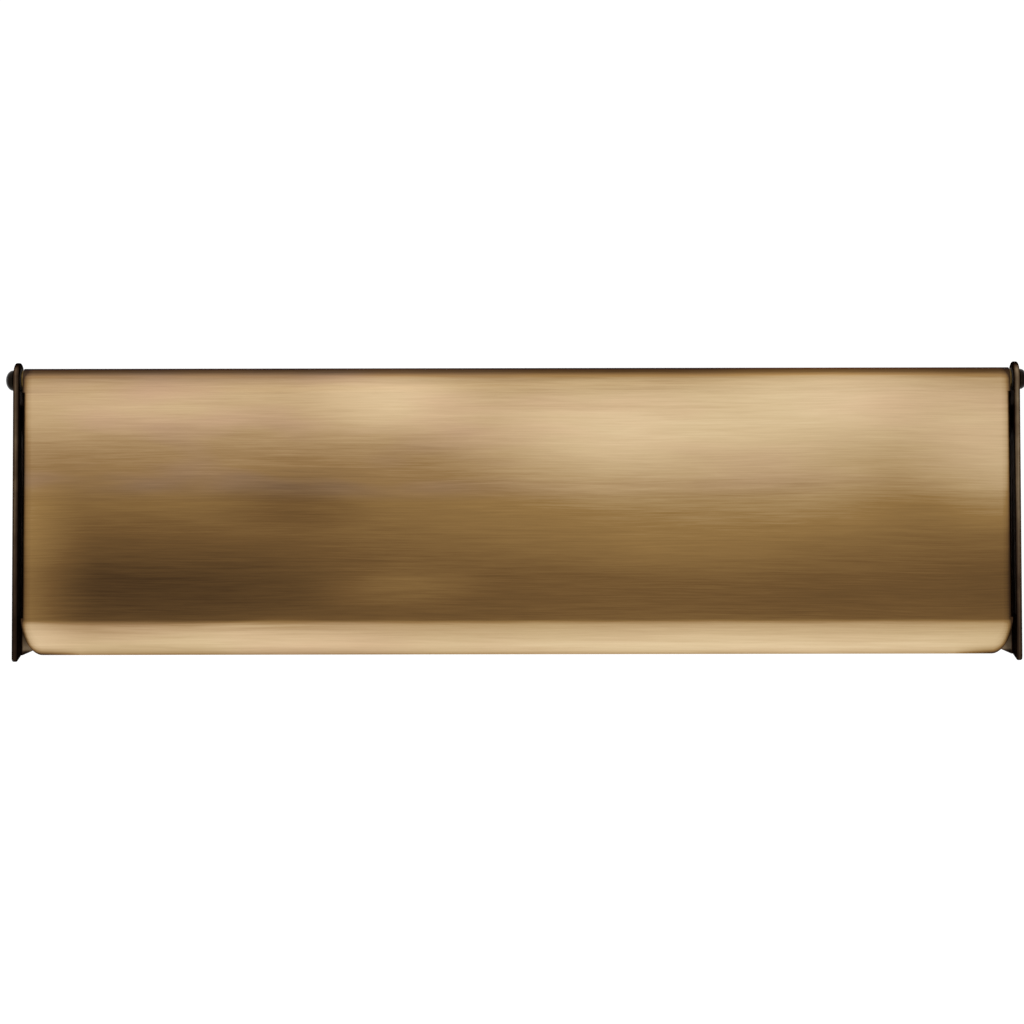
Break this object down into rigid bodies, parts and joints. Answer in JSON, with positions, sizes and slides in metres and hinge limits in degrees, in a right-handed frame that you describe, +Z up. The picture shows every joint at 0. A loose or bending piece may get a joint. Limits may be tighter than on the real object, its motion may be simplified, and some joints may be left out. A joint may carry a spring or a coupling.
{
  "type": "hinged kick plate",
  "caption": "Wide brushed antique-brass plate with a bent lower lip, hinged on a rod along its rolled top edge between two dark bronze side brackets.",
  "frame": {"origin": "bottom centre of the whole object's box, screws included; the door face lies 7.45 mm behind it", "axes": "+X to the right along the plate, +Y into the door, +Z up; the plate's front looks towards -Y"},
  "size_m": [0.7382, 0.0572, 0.2151],
  "materials": {
    "antique_brass": "brushed along its length and aged, lighter at the top and on the lip",
    "dark_bronze": "oil-rubbed dark bronze casting",
    "steel": "bright drawn bar",
    "blackened_steel": "blackened satin steel",
    "bearing_bronze": "turned bearing bronze",
    "nylon": "graphite-filled nylon",
    "rubber": "moulded rubber"
  },
  "bodies": {
    "frame": {"hinge_rod": "steel", "left_bracket": "dark_bronze", "right_bracket": "dark_bronze", "left_thrust_washer": "nylon", "right_thrust_washer": "nylon", "left_outer_washer": "blackened_steel", "right_outer_washer": "blackened_steel", "left_dome_nut": "blackened_steel", "right_dome_nut": "blackened_steel", "left_buffer": "rubber", "right_buffer": "rubber", "left_screw_1": "blackened_steel", "left_screw_2": "blackened_steel", "left_screw_3": "blackened_steel", "right_screw_1": "blackened_steel", "right_screw_2": "blackened_steel", "right_screw_3": "blackened_steel"},
    "plate": {"face_plate": "antique_brass", "left_bush": "bearing_bronze", "right_bush": "bearing_bronze"}
  },
  "joints": [
    {"name": "plate_swing", "type": "hinge", "parent": "frame", "child": "plate", "pos_m": [0, -0.01005, 0.20243], "axis": [-1, 0, 0], "range_deg": [0, 180]}
  ]
}
